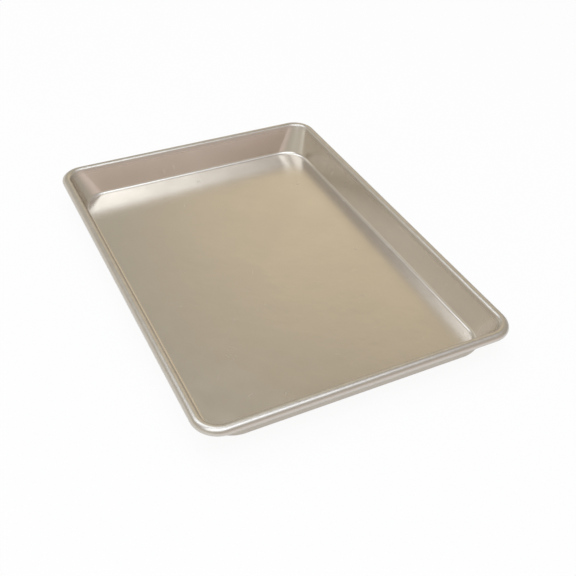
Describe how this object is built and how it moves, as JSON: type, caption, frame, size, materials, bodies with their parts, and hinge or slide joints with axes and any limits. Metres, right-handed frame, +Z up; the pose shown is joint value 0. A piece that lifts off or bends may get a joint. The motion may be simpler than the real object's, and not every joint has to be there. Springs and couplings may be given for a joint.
{
  "type": "jelly roll pan",
  "caption": "Shallow rectangular baking pan drawn from one metal sheet, with sloping walls, rounded corners and a rim curled over a steel wire.",
  "frame": {"origin": "middle of the flat underside, at the level that the pan rests on", "axes": "+Z up, out of the pan's mouth; +X along the long side; +Y across, along the short side"},
  "size_m": [0.33, 0.2374, 0.0254],
  "materials": {
    "pan_sheet": "satin champagne sheet with fine drawing marks",
    "rim_wire_steel": "dull galvanised wire"
  },
  "bodies": {
    "root": {"pan_shell": "pan_sheet", "rim_wire": "rim_wire_steel"}
  },
  "joints": []
}
